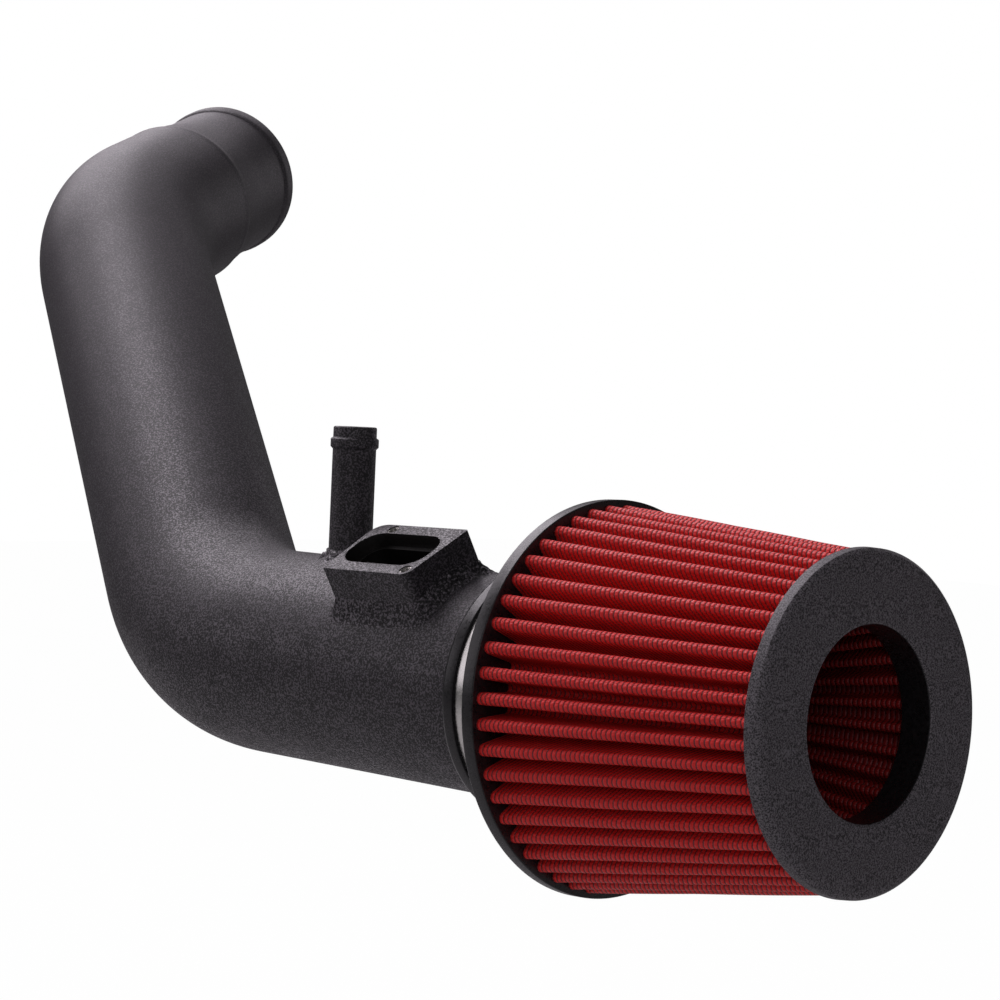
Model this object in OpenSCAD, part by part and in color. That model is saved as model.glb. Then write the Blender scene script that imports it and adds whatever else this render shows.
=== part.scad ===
// Cold air intake pipe with a pleated cone filter.
// Lengths are in millimetres. The origin is the centre of the outlet mouth, +Z is up,
// and the filter axis runs along +X.

/* [Tube] */
// Outside diameter of the tube
tube_d = 88.9; // [76:0.1:100]
// Wall of the tube
tube_wall = 2; // [1.5:0.1:3]
// Straight run from the filter flange face to the first bend
run_len = 200; // [190:0.5:280]
// Centre line radius of both bends
bend_r = 110; // [95:1:140]
// Angle of the first bend
bend1_a = 43.8; // [30:0.1:60]
// Turn of the first bend plane away from straight up
bend1_plane = 27.2; // [0:0.1:60]
// Straight leg between the two bends
leg_len = 230; // [150:1:300]
// Angle of the second bend
bend2_a = 39.6; // [25:0.1:60]
// Turn of the second bend plane about the leg
bend2_plane = 75; // [30:1:120]
// Straight stretch after the second bend
end_len = 33.6; // [20:0.1:60]

/* [Outlet end] */
// Length from the shoulder line to the mouth
outlet_len = 72.5; // [62:0.5:100]
// Outside diameter of the reduced outlet
outlet_d = 82.6; // [72:0.1:86]
// Length of the taper behind the reduced outlet
taper_len = 33; // [20:1:45]
// Outside diameter of the bead at the mouth
lip_d = 85.4; // [83:0.1:90]
// Width of the bead at the mouth
lip_w = 10; // [3:0.1:12]
// Height of the raised shoulder line
shoulder_h = 0.6; // [0.3:0.1:1.2]

/* [Sensor pad] */
// Distance of the pad centre behind the filter flange face
pad_x = 98; // [80:0.5:120]
// Height of the pad face over the tube axis
pad_h = 60.5; // [56:0.5:70]
// Lean of the pad from straight up
pad_lean = 30; // [0:1:45]
// Turn of the pad about its face normal
pad_yaw = 2; // [0:0.5:4]
// Length of the pad along the tube
pad_l = 50; // [49:0.1:60]
// Width of the pad across the tube
pad_w = 35.4; // [35:0.1:44]
// Slant of the pad's front edge over its width
pad_slant = 3.4; // [0:0.2:5]
// Length of the sensor opening
slot_l = 45; // [36:0.5:45]
// Width of the sensor opening
slot_w = 22.6; // [19:0.2:22.6]
// Corner radius of the sensor opening
slot_r = 9.5; // [6:0.5:9.5]
// Depth from the pad face to the ledge in the opening
ledge_depth = 6; // [3:0.5:9]
// Width of the ledge in the opening
ledge_w = 2.4; // [1:0.1:4]
// Pitch circle of the two threaded inserts
insert_pcd = 43; // [42.6:0.1:44]

/* [Hose nipple] */
// Distance of the nipple behind the filter flange face
nipple_x = 157.8; // [146:0.1:175]
// Outside diameter of the nipple
nipple_d = 18.5; // [14:0.1:22]
// Wall of the nipple
nipple_wall = 2; // [1.5:0.1:3]
// Height of the nipple rim over the tube axis
nipple_h = 100; // [80:0.5:120]
// Width of the raised bead on the nipple
nipple_bead_w = 4; // [2:0.1:6]

/* [Filter] */
// Tilt of the filter on the tube, from the give of its rubber neck
filter_tilt = 2.15; // [0:0.05:4]
// Diameter of the filter base flange
base_d = 153; // [146:0.2:160]
// Thickness of the base flange
base_t = 5.8; // [4:0.1:10]
// Outside diameter of the rubber neck
neck_d = 99; // [97:0.1:104]
// Length of the rubber neck behind the flange face
neck_len = 43; // [40:0.5:50]
// Length of the pleated body between base and cap
pleat_len = 116.6; // [100:0.2:150]
// Number of pleats in the outer body
pleat_n = 48; // [36:1:56]
// Number of pleats in the inner cone
inner_n = 26; // [18:1:32]
// Diameter of the end cap
cap_d = 124.4; // [122:0.2:134]
// Thickness of the end cap at its edge
cap_t = 4.8; // [4:0.1:9]
// Diameter of the hole in the end cap
cap_hole_d = 70; // [60:0.2:74]

/* [Hidden] */
$fn = 96;
tube_r = tube_d / 2;
bore_r = tube_r - tube_wall;
outlet_r = outlet_d / 2;
outlet_bore = outlet_r - tube_wall;
nipple_r = nipple_d / 2;
nipple_bore = nipple_r - nipple_wall;
base_r = base_d / 2;
neck_r = neck_d / 2;
cap_r = cap_d / 2;
cap_hole_r = cap_hole_d / 2;
tube_start = 10;
stop_r = bore_r - 1;
lap = 1;
swell = 0.3;
insert_r = 2.6;
insert_hole = 1.65;
insert_depth = 8;
insert_cx = 3.9;
insert_cy = 0.3;
insert_dx = insert_pcd / 2 * 0.758;
insert_dy = sqrt(pow(insert_pcd / 2, 2) - pow(insert_dx, 2));
slot_dx = 0.2;
slot_dy = -0.1;
pad_rear = pad_l / 2 - 0.8;
pad_front = pad_l - pad_rear;
pad_low = pad_w / 2;
slant_a = atan(pad_slant / pad_w);
corner_b = 8;
corner_d = 5;
pad_root = sqrt(pow(tube_r, 2) - pow(pad_low + 2, 2)) - 1;
cap_root_r = pleat_cap_r() - 12.9;
collar_r = cap_root_r - 3;
collar_len = 7.4;
weld_w = 5.5;
weld_h = 7;
clamp_x = 31.7;
clamp_w = 12.7;
clamp_turn = 60;
pleat_phase = -2.8;

// Ridge radius of the outer pleats at the base and at the cap
function pleat_base_r() = base_r - 2;
function pleat_cap_r() = cap_r - 1.6;

// Centre line of the tube, followed from the filter to the mouth
dir0 = [-1, 0, 0];
nrm0 = [0, sin(bend1_plane), cos(bend1_plane)];
pt0 = dir0 * run_len;
pt1 = pt0 + bend_r * sin(bend1_a) * dir0 + bend_r * (1 - cos(bend1_a)) * nrm0;
dir1 = cos(bend1_a) * dir0 + sin(bend1_a) * nrm0;
nrm1 = -sin(bend1_a) * dir0 + cos(bend1_a) * nrm0;
pt2 = pt1 + leg_len * dir1;
nrm2 = cos(bend2_plane) * nrm1 + sin(bend2_plane) * cross(dir1, nrm1);
pt3 = pt2 + bend_r * sin(bend2_a) * dir1 + bend_r * (1 - cos(bend2_a)) * nrm2;
dir2 = cos(bend2_a) * dir1 + sin(bend2_a) * nrm2;
mouth = pt3 + (end_len + outlet_len) * dir2;

// Places the filter frame so that the mouth centre is the origin
module placed() {
    translate(-mouth) children();
}

// Turns local +Z onto the tube axis at the filter end
module on_tube() {
    placed() rotate([0, 90, 0]) children();
}

// The same for the filter, which tilts a little on its neck
module on_axis() {
    placed() translate([-clamp_x, 0, 0]) rotate([0, -filter_tilt, 0])
        translate([clamp_x, 0, 0]) rotate([0, 90, 0]) children();
}

// Local +Z runs from the flange face towards the first bend
module along_run() {
    placed() rotate([-bend1_plane, 0, 0]) rotate([0, -90, 0]) children();
}

module after_bend(angle) {
    translate([bend_r, 0, 0]) rotate([0, angle, 0]) translate([-bend_r, 0, 0]) children();
}

module at_bend1() {
    along_run() translate([0, 0, run_len]) children();
}

module at_leg() {
    at_bend1() after_bend(bend1_a) children();
}

module at_bend2() {
    at_leg() translate([0, 0, leg_len]) rotate([0, 0, bend2_plane]) children();
}

module at_end() {
    at_bend2() after_bend(bend2_a) children();
}

// Local frame of the sensor pad, +Z along its face normal
module at_pad() {
    placed() translate([-pad_x, 0, 0]) rotate([pad_lean, 0, 0]) rotate([0, 0, pad_yaw]) children();
}

module at_nipple() {
    placed() translate([-nipple_x, 0, 0]) children();
}

// One bend of a pipe, from the local origin along +Z towards +X
module bend_ring(angle) {
    translate([bend_r, 0, 0])
        rotate([90, 0, 0])
            rotate([0, 0, 180 - angle])
                rotate_extrude(angle = angle) translate([bend_r, 0]) difference() {
                    circle(r = tube_r + swell);
                    circle(r = bore_r - swell);
                }
}

// Straight pipe that laps a little into the bends at its ends
module straight(z0, z1) {
    translate([0, 0, z0]) difference() {
        cylinder(r = tube_r, h = z1 - z0);
        translate([0, 0, -1]) cylinder(r = bore_r, h = z1 - z0 + 2);
    }
}

// Reduced outlet: shoulder line, taper, spigot and rolled bead
module outlet_end() {
    rotate_extrude() polygon([
        [bore_r, -end_len - lap],
        [tube_r, -end_len - lap],
        [tube_r, 0],
        [tube_r + shoulder_h, 1.2],
        [tube_r + shoulder_h, 2],
        [tube_r - 0.3, 3.6],
        [outlet_r, taper_len],
        [outlet_r, outlet_len - lip_w - 0.6],
        [lip_d / 2 - 0.5, outlet_len - lip_w],
        [lip_d / 2, outlet_len - lip_w + 0.9],
        [lip_d / 2, outlet_len],
        [outlet_bore, outlet_len],
        [outlet_bore, taper_len + 2],
        [bore_r, 0]
    ]);
}

module intake_tube() {
    color([0.15, 0.15, 0.17]) difference() {
        union() {
            along_run() straight(tube_start, run_len + lap);
            at_bend1() bend_ring(bend1_a);
            at_leg() straight(-lap, leg_len + lap);
            at_bend2() bend_ring(bend2_a);
            at_end() translate([0, 0, end_len]) outlet_end();
        }
        at_pad() translate([0, 0, 20]) linear_extrude(30) slot_2d(ledge_w);
        at_nipple() translate([0, 0, 20]) cylinder(r = nipple_bore, h = 40);
    }
}

// Points of an arc
function arc(c, r, a0, a1, n) = [for (i = [0:n]) c + r * [cos(a0 + (a1 - a0) * i / n),
    sin(a0 + (a1 - a0) * i / n)]];

// Front edge of the pad at a given width, grown outwards by g
function front_x(y, g) = pad_front + pad_slant / 2 * y / pad_low + g / cos(slant_a);

// Outline of the pad grown by g: two sharp corners and two round ones
function pad_points(g) = concat(
    [[-pad_rear - g, -pad_low - g]],
    arc([front_x(corner_d - pad_low, 0) - corner_d / cos(slant_a), corner_d - pad_low],
        corner_d + g, -90, -slant_a, 5),
    [[front_x(pad_low + g, g), pad_low + g]],
    arc([corner_b - pad_rear, pad_low - corner_b], corner_b + g, 90, 180, 8)
);

module slot_2d(inset) {
    w = slot_l / 2 - inset;
    h = slot_w / 2 - inset;
    r = slot_r - inset;
    translate([slot_dx, slot_dy]) union() {
        square([2 * w, 2 * (h - r)], center = true);
        square([2 * (w - r), 2 * h], center = true);
        for (sx = [-1, 1], sy = [-1, 1]) translate([sx * (w - r), sy * (h - r)]) circle(r = r);
    }
}

module tube_core() {
    rotate([0, 0, -pad_yaw]) translate([pad_x, 0, 0]) rotate([0, -90, 0]) cylinder(r = tube_r, h = run_len);
}

module insert_spots() {
    for (s = [-1, 1]) translate([insert_cx + s * insert_dx, insert_cy - s * insert_dy, pad_h]) children();
}

module sensor_flange() {
    color([0.13, 0.13, 0.14]) at_pad() difference() {
        translate([0, 0, pad_root]) linear_extrude(pad_h - pad_root) polygon(pad_points(0));
        tube_core();
        translate([0, 0, pad_h - ledge_depth]) linear_extrude(ledge_depth + 1) slot_2d(0);
        translate([0, 0, pad_root - 1]) linear_extrude(pad_h) slot_2d(ledge_w);
        insert_spots() translate([0, 0, -insert_depth]) cylinder(r = insert_r, h = insert_depth + 1);
        insert_spots() translate([0, 0, -insert_depth - 2]) cylinder(r = insert_hole, h = 4);
    }
}

module thread_inserts() {
    color([0.75, 0.75, 0.76]) at_pad() insert_spots() translate([0, 0, -insert_depth]) difference() {
        cylinder(r = insert_r, h = insert_depth);
        translate([0, 0, -1]) cylinder(r = insert_hole, h = insert_depth + 2);
    }
}

// Height of the tube surface over its axis at a sideways distance y
function tube_top(y) = sqrt(max(0, pow(tube_r, 2) - pow(y, 2)));
function tube_under_pad(q) = tube_top(q[0] * sin(pad_yaw) + q[1] * cos(pad_yaw));

// Splits each side of a closed outline into short steps
function steps_of(p, step) = [for (i = [0:len(p) - 1])
    max(1, round(norm(p[(i + 1) % len(p)] - p[i]) / step))];
function split_by(p, ns) = [for (i = [0:len(p) - 1])
    for (k = [0:ns[i] - 1]) p[i] + (p[(i + 1) % len(p)] - p[i]) * k / ns[i]];

// Closed sweep through rings of points, each ring one cross-section
module ring_sweep(rings) {
    n = len(rings);
    m = len(rings[0]);
    pts = [for (r = rings) for (p = r) p];
    faces = [for (i = [0:n - 1]) for (j = [0:m - 1])
        let(a = i * m + j, b = i * m + (j + 1) % m,
            c = ((i + 1) % n) * m + (j + 1) % m, d = ((i + 1) % n) * m + j)
        for (f = [[a, c, b], [a, d, c]]) f];
    polyhedron(points = pts, faces = faces);
}

// Section of a weld bead: share of the width outwards and of the height upwards
bead_section = [[0, 0], [0, 1], [0.22, 0.94], [0.5, 0.72], [0.78, 0.4], [1, 0]];
function ripple(i) = 1 + 0.07 * (i % 2 == 0 ? 1 : -1) + 0.05 * sin(i * 77);

module sensor_flange_weld() {
    ns = steps_of(pad_points(0), 2.2);
    outlines = [for (s = bead_section) split_by(pad_points(s[0] * weld_w), ns)];
    color([0.16, 0.16, 0.17]) at_pad() ring_sweep([for (i = [0:len(outlines[0]) - 1])
        [for (k = [0:len(bead_section) - 1])
            let(q = outlines[0][i] + (outlines[k][i] - outlines[0][i]) * ripple(i))
            [q[0], q[1], tube_under_pad(q) + 0.02 + bead_section[k][1] * weld_h * ripple(i)]]]);
}

module breather_nipple() {
    top = nipple_h;
    color([0.15, 0.15, 0.17]) at_nipple() difference() {
        union() {
            translate([0, 0, tube_r - 2.5]) cylinder(r = nipple_r, h = top - tube_r + 2.5 - 5);
            translate([0, 0, top - 5]) rotate_extrude() polygon([
                [0, 0],
                [nipple_r - 0.4, 0],
                [nipple_r - 0.4, 4.5],
                [nipple_r - 0.9, 5],
                [0, 5]
            ]);
            translate([0, 0, top - 4.8 - nipple_bead_w]) rotate_extrude() polygon([
                [nipple_r - 1, 0],
                [nipple_r + 0.6, 0],
                [nipple_r + 1.1, 0.6],
                [nipple_r + 1.1, nipple_bead_w - 0.8],
                [nipple_r + 0.2, nipple_bead_w],
                [nipple_r - 1, nipple_bead_w]
            ]);
        }
        translate([nipple_x, 0, 0]) rotate([0, -90, 0]) cylinder(r = tube_r, h = run_len + 60);
        cylinder(r = nipple_bore, h = nipple_h + 1);
    }
}

module nipple_weld() {
    n = 48;
    color([0.16, 0.16, 0.17]) at_nipple() ring_sweep([for (i = [0:n - 1])
        let(a = 360 * i / n, k = ripple(i))
        [for (s = bead_section)
            let(r = nipple_r + 0.02 + s[0] * 4.4 * k, x = r * cos(a), y = r * sin(a))
            [x, y, tube_top(y) + 0.02 + s[1] * 4.6 * k]]]);
}

// Rubber base: neck on the tube, flange tilted with the filter
module filter_base() {
    color([0.06, 0.06, 0.065]) difference() {
        union() {
            on_tube() rotate_extrude() polygon([
                [0, -neck_len],
                [neck_r + 1.6, -neck_len],
                [neck_r + 2, -neck_len + 0.5],
                [neck_r + 2, -neck_len + 2.6],
                [neck_r, -neck_len + 3.2],
                [neck_r, -tube_start - 2],
                [0, -tube_start - 2]
            ]);
            on_axis() rotate_extrude() polygon([
                [0, -tube_start - 6],
                [neck_r - 0.8, -tube_start - 6],
                [neck_r + 1.2, -tube_start - 4],
                [neck_r + 1.2, -base_t - 2],
                [neck_r + 3, -base_t],
                [base_r - 0.7, -base_t],
                [base_r, -base_t + 0.6],
                [base_r, -0.5],
                [base_r - 0.5, 0],
                [0, 0]
            ]);
        }
        on_tube() translate([0, 0, -neck_len - 1]) cylinder(r = tube_r, h = neck_len + 1 - tube_start);
        on_axis() translate([0, 0, -tube_start - 5]) cylinder(r = stop_r, h = tube_start + 6);
    }
}

module clamp_band() {
    color([0.72, 0.73, 0.75]) on_tube() translate([0, 0, -clamp_x - clamp_w / 2]) difference() {
        cylinder(r = neck_r + 0.8, h = clamp_w);
        translate([0, 0, -1]) cylinder(r = neck_r + 0.05, h = clamp_w + 2);
    }
}

// Local frame on the clamp band: +X outwards, +Y along the worm screw
module at_clamp() {
    on_tube() rotate([0, 0, clamp_turn]) translate([neck_r + 0.8, 0, -clamp_x]) children();
}

module clamp_housing() {
    color([0.7, 0.71, 0.73]) at_clamp() difference() {
        union() {
            translate([-1.2, -9, -7.2]) cube([9, 18, 14.4]);
            translate([4.6, 9, 0]) rotate([90, 0, 0]) cylinder(r = 5.4, h = 18);
        }
        translate([-neck_r - 0.8, 0, -10]) cylinder(r = neck_r + 0.8, h = 20);
        translate([4.6, 10, 0]) rotate([90, 0, 0]) cylinder(r = 4, h = 20);
    }
}

module clamp_screw() {
    color([0.78, 0.78, 0.8]) at_clamp() translate([4.6, 0, 0]) rotate([90, 0, 0]) difference() {
        union() {
            translate([0, 0, -10]) cylinder(r = 3.9, h = 20);
            translate([0, 0, 10]) cylinder(r = 5.2, h = 1.2);
            translate([0, 0, 11]) cylinder(r = 4.6, h = 5, $fn = 6);
        }
        translate([-6, -0.6, 14]) cube([12, 1.2, 3]);
    }
}

// One closed fold profile: angle as a share of the pitch, and depth as a share
fold_out = [[-0.24, 0.16], [-0.13, 0.035], [0, 0], [0.13, 0.035], [0.24, 0.16],
    [0.42, 0.93], [0.5, 1], [0.58, 0.93]];
fold_in = [[-0.12, 0.2], [-0.06, 0.15], [0, 0.13], [0.06, 0.15], [0.12, 0.2],
    [0.32, 1.03], [0.5, 1.12], [0.68, 1.03]];

function fold_ring(n, crest, root, z, fold) = [for (i = [0:n - 1]) for (f = fold)
    let(a = 360 * (i + f[0]) / n, r = crest + (root - crest) * f[1])
    [r * cos(a), r * sin(a), z]];

// Pleated sheet between two ends; crest and root radii may grow or shrink
module pleated(n, crest0, root0, z0, crest1, root1, z1) {
    ring_a = fold_ring(n, crest0, root0, z0, fold_out);
    ring_b = fold_ring(n, crest1, root1, z1, fold_out);
    ring_c = fold_ring(n, crest1, root1, z1, fold_in);
    ring_d = fold_ring(n, crest0, root0, z0, fold_in);
    flip = crest0 > root0;
    rings = [ring_a, ring_b, ring_c, ring_d];
    m = len(ring_a);
    pts = [for (r = rings) for (p = r) p];
    faces = [for (i = [0:3]) for (j = [0:m - 1])
        let(a = i * m + j, b = i * m + (j + 1) % m,
            c = ((i + 1) % 4) * m + (j + 1) % m, d = ((i + 1) % 4) * m + j)
        for (f = flip ? [[a, d, c], [a, c, b]] : [[a, c, d], [a, b, c]]) f];
    polyhedron(points = pts, faces = faces);
}

module outer_pleats() {
    color([0.62, 0.05, 0.09]) on_axis() rotate([0, 0, pleat_phase]) pleated(pleat_n,
        pleat_base_r(), pleat_base_r() - 16, 0,
        pleat_cap_r(), cap_root_r, pleat_len);
}

// Inner cone: folds point to the axis, wide end at the cap
inner_top = pleat_len - collar_len;
inner_low = pleat_len * 0.28;
inner_crest0 = cap_hole_r * 0.55;
module inner_pleats() {
    color([0.5, 0.04, 0.07]) on_axis() pleated(inner_n,
        inner_crest0, inner_crest0 + 7, inner_low,
        cap_hole_r, collar_r - 1.2, inner_top);
}

module inner_cone_plate() {
    color([0.07, 0.07, 0.075]) on_axis() translate([0, 0, inner_low - 4])
        cylinder(r = inner_crest0 + 9, h = 4);
}

// End cap: edge band, rounded front and the collar round the hole
module end_cap() {
    front = pleat_len + cap_t;
    color([0.1, 0.1, 0.11]) on_axis() rotate_extrude() polygon([
        [cap_hole_r, inner_top],
        [collar_r, inner_top],
        [collar_r, pleat_len],
        [cap_r - 0.4, pleat_len],
        [cap_r, pleat_len + 0.4],
        [cap_r - 0.5, front - 0.2],
        [cap_r - 0.9, front + 0.5],
        [cap_r - 2, front + 1],
        [cap_r - 4, front + 1.2],
        [cap_hole_r + 2.5, front + 1.2],
        [cap_hole_r + 0.8, front + 0.8],
        [cap_hole_r, front]
    ]);
}

intake_tube();
sensor_flange();
sensor_flange_weld();
thread_inserts();
breather_nipple();
nipple_weld();
filter_base();
clamp_band();
clamp_housing();
clamp_screw();
outer_pleats();
inner_pleats();
inner_cone_plate();
end_cap();
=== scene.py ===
"""Looks of a cold air intake pipe with a pleated cone filter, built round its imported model."""

import logging
import math
import random
from dataclasses import dataclass
from enum import Enum
from typing import Callable, Iterable, Optional, Sequence, Union

import bmesh
import bpy
from mathutils import Matrix, Vector, noise


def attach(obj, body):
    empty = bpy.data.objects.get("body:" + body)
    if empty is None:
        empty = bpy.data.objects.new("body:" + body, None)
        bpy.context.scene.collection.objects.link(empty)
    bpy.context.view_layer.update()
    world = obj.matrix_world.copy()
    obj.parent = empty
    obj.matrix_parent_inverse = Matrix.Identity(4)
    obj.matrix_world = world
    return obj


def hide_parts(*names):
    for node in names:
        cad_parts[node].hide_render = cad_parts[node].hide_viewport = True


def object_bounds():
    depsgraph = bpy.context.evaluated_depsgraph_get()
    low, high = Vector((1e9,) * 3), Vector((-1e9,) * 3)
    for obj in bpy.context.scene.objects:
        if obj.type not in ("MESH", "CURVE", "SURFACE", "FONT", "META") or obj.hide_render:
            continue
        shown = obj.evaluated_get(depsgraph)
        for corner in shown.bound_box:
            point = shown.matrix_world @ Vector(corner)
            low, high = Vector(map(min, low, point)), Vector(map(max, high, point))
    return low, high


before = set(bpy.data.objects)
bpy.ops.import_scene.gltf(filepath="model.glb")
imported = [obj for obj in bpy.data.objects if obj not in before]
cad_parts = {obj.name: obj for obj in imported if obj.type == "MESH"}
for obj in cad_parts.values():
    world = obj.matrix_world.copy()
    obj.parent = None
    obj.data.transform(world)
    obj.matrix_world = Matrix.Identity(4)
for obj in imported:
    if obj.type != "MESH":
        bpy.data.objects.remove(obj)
CAD_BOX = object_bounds()

MM = 0.001
SMOOTH_ANGLE = math.radians(38)
TUBE_RADIUS = 44.45
TUBE_WALL = 2.0
MIRRORED = 0.06
log = logging.getLogger("intake")

Number = Union[int, float]
Point = Sequence[float]


class Slot(Enum):
    """Names of material slots."""

    POWDER = "powder_coat"
    INSERT = "inserts"
    STEEL = "stainless"
    BASE = "base_rubber"
    CAP = "cap_rubber"
    MEDIA = "filter_media"


class Side(Enum):
    """Which way the crests of a folded sheet point."""

    OUT = 1
    IN = -1


# Frames of the part, in millimetres


def turn(angle: float, axis: str) -> Matrix:
    """Rotation about a main axis, with the angle in degrees."""
    return Matrix.Rotation(math.radians(angle), 4, axis)


def shift(x: float, y: float, z: float) -> Matrix:
    """Translation."""
    return Matrix.Translation((x, y, z))


@dataclass(frozen=True)
class Route:
    """Centre line of the tube, followed from the filter to the mouth."""

    run: float = 200.0
    bend: float = 110.0
    angle1: float = 43.8
    plane1: float = 27.2
    leg: float = 230.0
    angle2: float = 39.6
    plane2: float = 75.0
    end: float = 33.6
    outlet: float = 72.5
    pivot: float = 31.7
    tilt: float = 2.15

    def after_bend(self, angle: float) -> Matrix:
        """Frame at the end of a bend that starts at the local origin."""
        return shift(self.bend, 0, 0) @ turn(angle, "Y") @ shift(-self.bend, 0, 0)

    def _leg_local(self) -> Matrix:
        """Frame at the start of the leg, before the part is placed."""
        start = turn(-self.plane1, "X") @ turn(-90, "Y") @ shift(0, 0, self.run)
        return start @ self.after_bend(self.angle1)

    def _end_local(self) -> Matrix:
        """Frame after the second bend, before the part is placed."""
        turned = self._leg_local() @ shift(0, 0, self.leg) @ turn(self.plane2, "Z")
        return turned @ self.after_bend(self.angle2)

    def placed(self) -> Matrix:
        """Filter frame in the part's frame, whose origin is the mouth's centre."""
        mouth = self._end_local() @ Vector((0, 0, self.end + self.outlet))
        return shift(*(-mouth))

    def along_run(self) -> Matrix:
        """Local +Z runs from the flange face towards the first bend."""
        return self.placed() @ turn(-self.plane1, "X") @ turn(-90, "Y")

    def at_bend1(self) -> Matrix:
        """Frame where the first bend starts."""
        return self.along_run() @ shift(0, 0, self.run)

    def at_leg(self) -> Matrix:
        """Frame where the leg starts."""
        return self.placed() @ self._leg_local()

    def at_bend2(self) -> Matrix:
        """Frame where the second bend starts."""
        return self.at_leg() @ shift(0, 0, self.leg) @ turn(self.plane2, "Z")

    def at_end(self) -> Matrix:
        """Frame after the second bend."""
        return self.placed() @ self._end_local()

    def on_tube(self) -> Matrix:
        """Local +Z is the tube's axis towards the cap."""
        return self.placed() @ turn(90, "Y")

    def on_filter(self) -> Matrix:
        """The same for the filter, which tilts a little on its neck."""
        tilted = shift(-self.pivot, 0, 0) @ turn(-self.tilt, "Y") @ shift(self.pivot, 0, 0)
        return self.placed() @ tilted @ turn(90, "Y")


ROUTE = Route()


# Shader expressions


class Val:
    """A shader socket that adds Math nodes when it is used in an expression."""

    def __init__(self, graph: "Graph", socket: bpy.types.NodeSocket) -> None:
        """Wraps one output socket of a graph."""
        self.graph = graph
        self.socket = socket

    def _math(self, operation: str, *values: Union["Val", Number]) -> "Val":
        """Result of one Math node with these inputs in order."""
        return self.graph.node("ShaderNodeMath", {"operation": operation}, dict(enumerate(values)))

    def __add__(self, other: Union["Val", Number]) -> "Val":
        """Sum."""
        return self._math("ADD", self, other)

    __radd__ = __add__

    def __sub__(self, other: Union["Val", Number]) -> "Val":
        """Difference."""
        return self._math("SUBTRACT", self, other)

    def __rsub__(self, other: Number) -> "Val":
        """Difference from a number."""
        return self._math("SUBTRACT", other, self)

    def __mul__(self, other: Union["Val", Number]) -> "Val":
        """Product."""
        return self._math("MULTIPLY", self, other)

    __rmul__ = __mul__

    def __truediv__(self, other: Union["Val", Number]) -> "Val":
        """Quotient."""
        return self._math("DIVIDE", self, other)

    def __pow__(self, other: Number) -> "Val":
        """Power."""
        return self._math("POWER", self, other)

    def abs(self) -> "Val":
        """Size without sign."""
        return self._math("ABSOLUTE", self)

    def fract(self) -> "Val":
        """Part after the point."""
        return self._math("FRACT", self)

    def floor(self) -> "Val":
        """Whole part."""
        return self._math("FLOOR", self)

    def most(self, other: Union["Val", Number]) -> "Val":
        """The larger of the two."""
        return self._math("MAXIMUM", self, other)

    def ease(self, low: float, high: float) -> "Val":
        """Smooth rise from 0 at low to 1 at high, or a fall where low is the larger.

        Args:
            low: Value that gives 0.
            high: Value that gives 1.

        Returns:
            The eased value.
        """
        first, last = (0.0, 1.0) if low < high else (1.0, 0.0)
        values = {"Value": self, "From Min": min(low, high), "From Max": max(low, high),
                  "To Min": first, "To Max": last}
        return self.graph.node("ShaderNodeMapRange", {"interpolation_type": "SMOOTHSTEP"}, values)


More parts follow.
